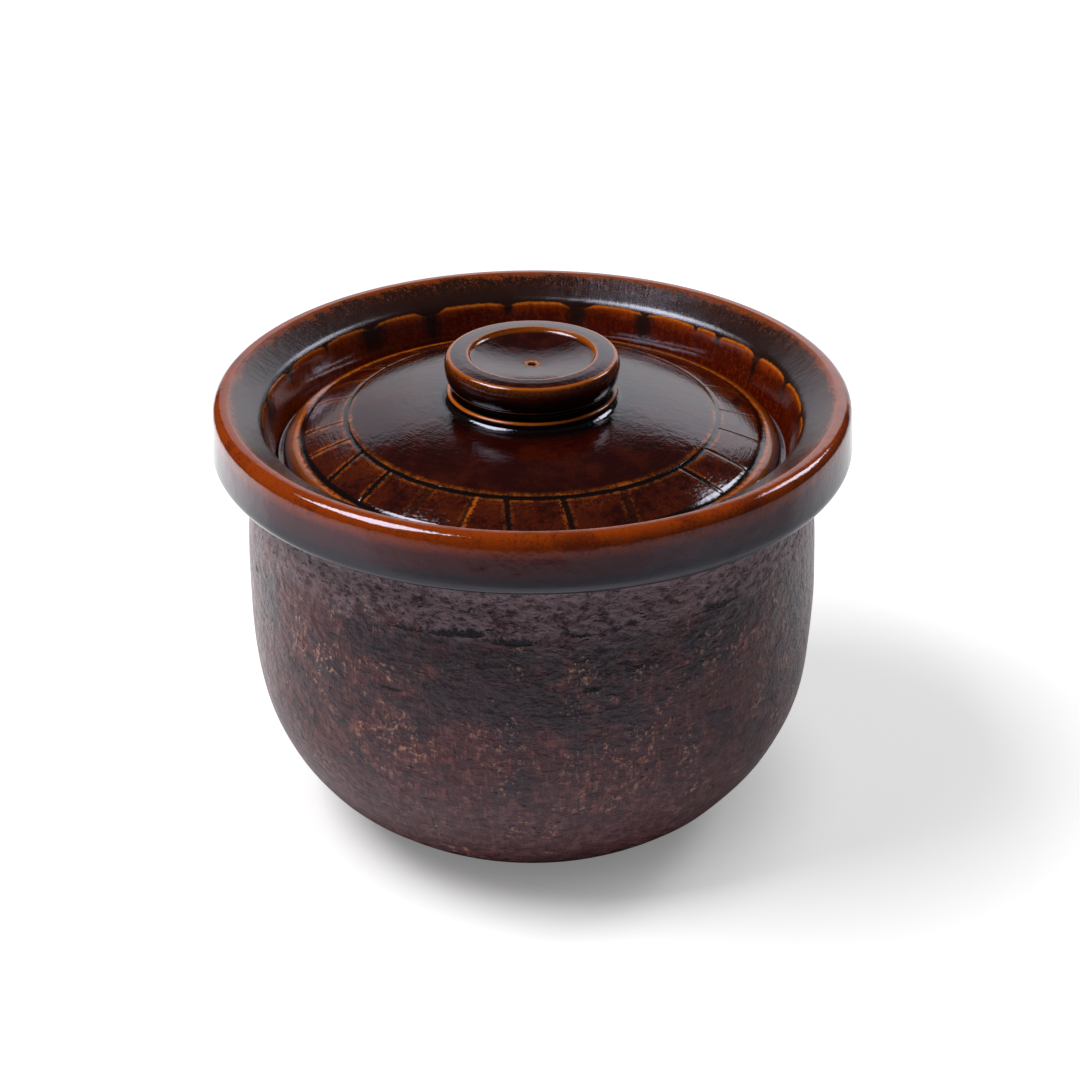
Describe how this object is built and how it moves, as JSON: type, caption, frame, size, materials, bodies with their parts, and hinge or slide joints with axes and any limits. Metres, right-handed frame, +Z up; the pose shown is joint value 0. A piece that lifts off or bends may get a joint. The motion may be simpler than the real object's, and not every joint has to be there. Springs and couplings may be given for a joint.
{
  "type": "clay rice pot",
  "caption": "Round stoneware rice pot with a heavy rolled collar, a deep well and a loose domed lid with a disc knob that sits inside the collar.",
  "frame": {"origin": "centre of the flat foot, on the surface the pot stands on", "axes": "+Z up along the axis the pot and its lid are turned on; the pictured front faces -Y"},
  "size_m": [0.2134, 0.2134, 0.1644],
  "materials": {
    "bowl_clay": "rough satin stoneware, mottled purple brown",
    "collar_glaze": "gloss amber brown glaze over dark iron brushwork",
    "lid_glaze": "gloss dark red brown glaze, amber where it thins on edges",
    "knob_glaze": "gloss dark brown glaze, amber where it thins on edges"
  },
  "bodies": {
    "pot": {"pot_bowl": "bowl_clay", "pot_collar": "collar_glaze"},
    "lid": {"lid_plate": "lid_glaze", "lid_knob": "knob_glaze"}
  },
  "joints": [
    {"name": "lid_lift", "type": "slide", "parent": "pot", "child": "lid", "axis": [0, 0, 1], "range_m": [0, 0.1]}
  ]
}
